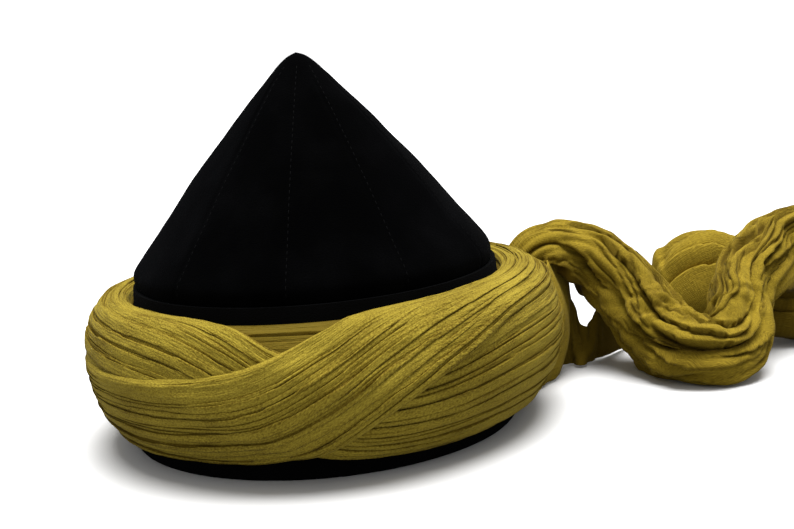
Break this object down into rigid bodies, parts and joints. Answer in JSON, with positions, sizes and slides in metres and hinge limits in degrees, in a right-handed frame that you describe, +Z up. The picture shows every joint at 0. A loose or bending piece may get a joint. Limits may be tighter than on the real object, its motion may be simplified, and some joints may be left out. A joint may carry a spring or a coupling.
{
  "type": "turban cap",
  "caption": "Pointed velvet cap with a stiff side band, wound with crossing laps of gathered cotton cloth whose free end lies heaped beside it.",
  "frame": {"origin": "middle of the whole object's box in plan, at the height of the surface it rests on", "axes": "+X to the right, towards the heaped free end; +Y to the back; +Z up, parallel to the cap's axis"},
  "size_m": [0.4362, 0.243, 0.1828],
  "materials": {
    "velvet": "short black pile",
    "wrap_cloth": "crinkled cotton muslin, matte mustard"
  },
  "bodies": {
    "root": {"crown": "velvet", "side_band": "velvet", "inner_winding": "wrap_cloth", "lap_under": "wrap_cloth", "lap_over": "wrap_cloth", "tail": "wrap_cloth", "tail_drape": "wrap_cloth"}
  },
  "joints": []
}
